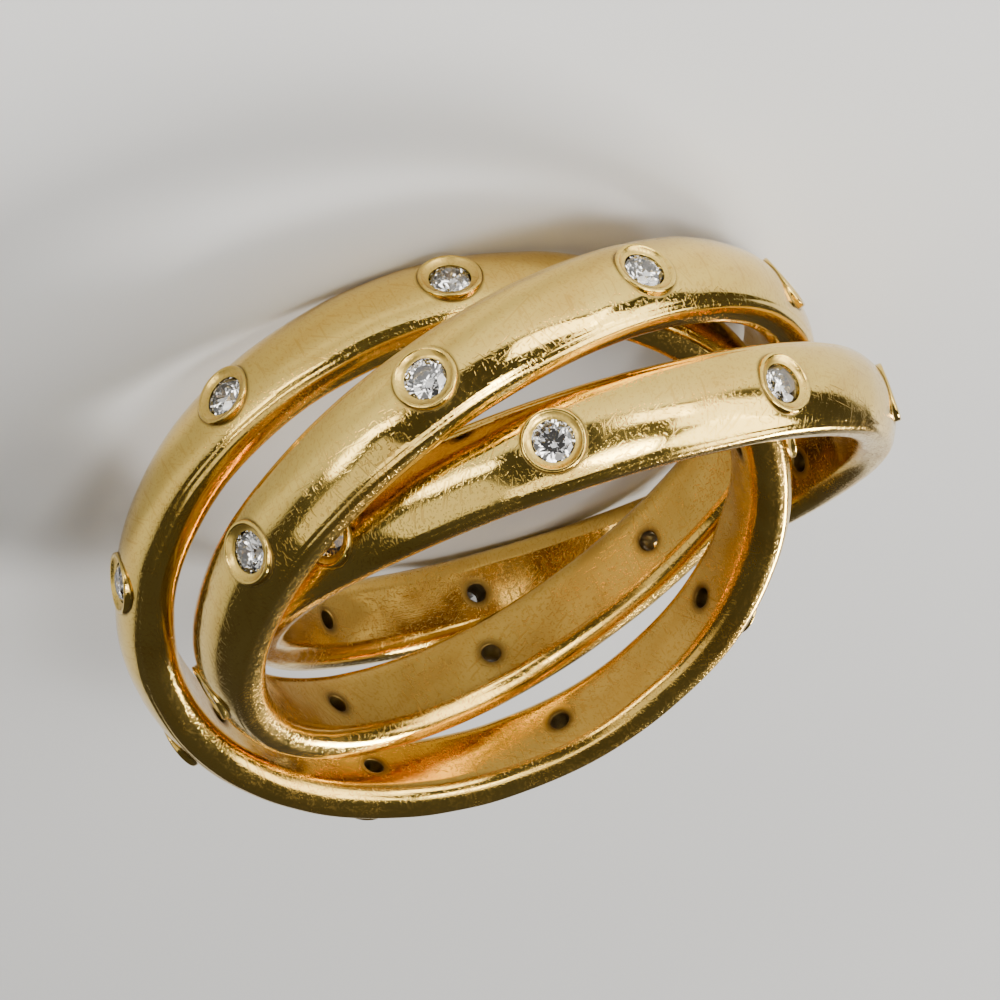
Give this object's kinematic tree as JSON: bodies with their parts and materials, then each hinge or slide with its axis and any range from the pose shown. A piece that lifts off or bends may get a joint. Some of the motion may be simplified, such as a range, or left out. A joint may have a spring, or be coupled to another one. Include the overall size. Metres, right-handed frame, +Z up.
{
  "type": "rolling ring",
  "caption": "Rolling finger ring of linked domed gold bands, each set all round with small round stones in flush collars.",
  "frame": {"origin": "on the floor under the middle of the ring's bounding box, with the ring lying on its side", "axes": "+Z up from the floor, +X and +Y level; the picture looks towards +Y and down"},
  "size_m": [0.0254, 0.0235, 0.009],
  "materials": {
    "gold": "polished yellow gold with fine wear",
    "stone": "clear faceted round brilliant"
  },
  "bodies": {
    "middle_ring": {"band_middle": "gold", "stone_middle_1": "stone", "stone_middle_2": "stone", "stone_middle_3": "stone", "stone_middle_4": "stone", "stone_middle_5": "stone", "stone_middle_6": "stone", "stone_middle_7": "stone", "stone_middle_8": "stone", "stone_middle_9": "stone"},
    "left_ring": {"band_left": "gold", "stone_left_1": "stone", "stone_left_2": "stone", "stone_left_3": "stone", "stone_left_4": "stone", "stone_left_5": "stone", "stone_left_6": "stone", "stone_left_7": "stone", "stone_left_8": "stone", "stone_left_9": "stone"},
    "right_ring": {"band_right": "gold", "stone_right_1": "stone", "stone_right_2": "stone", "stone_right_3": "stone", "stone_right_4": "stone", "stone_right_5": "stone", "stone_right_6": "stone", "stone_right_7": "stone", "stone_right_8": "stone", "stone_right_9": "stone"}
  },
  "joints": [
    {"name": "left_roll", "type": "hinge", "parent": "middle_ring", "child": "left_ring", "pos_m": [0.00168, 0.0005, 0.0045], "axis": [-0.0579, -0.2951, 0.9537], "continuous": true},
    {"name": "right_roll", "type": "hinge", "parent": "middle_ring", "child": "right_ring", "pos_m": [-0.00169, 0.00101, 0.00433], "axis": [0.0356, 0.2818, 0.9588], "continuous": true}
  ]
}
